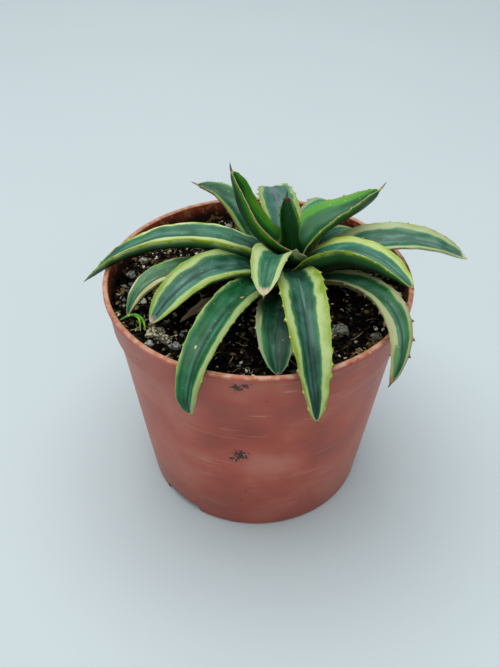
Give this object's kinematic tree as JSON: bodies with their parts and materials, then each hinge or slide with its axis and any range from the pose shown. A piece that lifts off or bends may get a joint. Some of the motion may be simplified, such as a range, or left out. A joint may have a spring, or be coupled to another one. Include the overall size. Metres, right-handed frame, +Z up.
{
  "type": "potted agave",
  "caption": "Small variegated agave rosette rooted in soil in a round tapered plastic nursery pot with a collar and drain recesses.",
  "frame": {"origin": "centre of the pot's underside, on the surface it stands on; the plant grows a little off this axis", "axes": "+Z up along the pot's axis, -Y towards the front, +X to the right seen from the front"},
  "size_m": [0.1329, 0.1123, 0.1195],
  "materials": {
    "pot_plastic": "dull terracotta-coloured moulded polypropylene, scuffed, with pale haze",
    "potting_soil": null,
    "stem_tissue": "short fibrous rootstock with old leaf sheaths",
    "leaf_skin": null,
    "dry_leaf": "dry brown papery leaf",
    "sprout_skin": "soft bright green seedling stalk",
    "perlite": "rough porous pale perlite grains"
  },
  "bodies": {
    "root": {"pot": "pot_plastic", "potting_soil": "potting_soil", "stem": "stem_tissue", "leaf_left_low": "leaf_skin", "leaf_right_drooping": "leaf_skin", "leaf_front_low": "leaf_skin", "leaf_back_right_low": "leaf_skin", "leaf_back_left_low": "leaf_skin", "leaf_right_small": "leaf_skin", "leaf_front_left": "leaf_skin", "leaf_right_long": "leaf_skin", "leaf_left_mid": "leaf_skin", "leaf_back_right": "leaf_skin", "leaf_back_left": "leaf_skin", "leaf_right_arched": "leaf_skin", "leaf_front_broad": "leaf_skin", "leaf_left_long": "leaf_skin", "leaf_back_centre": "leaf_skin", "leaf_front_short": "leaf_skin", "leaf_upper_right": "leaf_skin", "leaf_upper_left": "leaf_skin", "leaf_spear": "leaf_skin", "leaf_dry": "dry_leaf", "weed_sprout": "sprout_skin", "perlite_01": "perlite", "perlite_02": "perlite", "perlite_03": "perlite", "perlite_04": "perlite", "perlite_05": "perlite", "perlite_06": "perlite", "perlite_07": "perlite", "perlite_08": "perlite", "perlite_09": "perlite", "perlite_10": "perlite", "perlite_11": "perlite", "perlite_12": "perlite"}
  },
  "joints": []
}
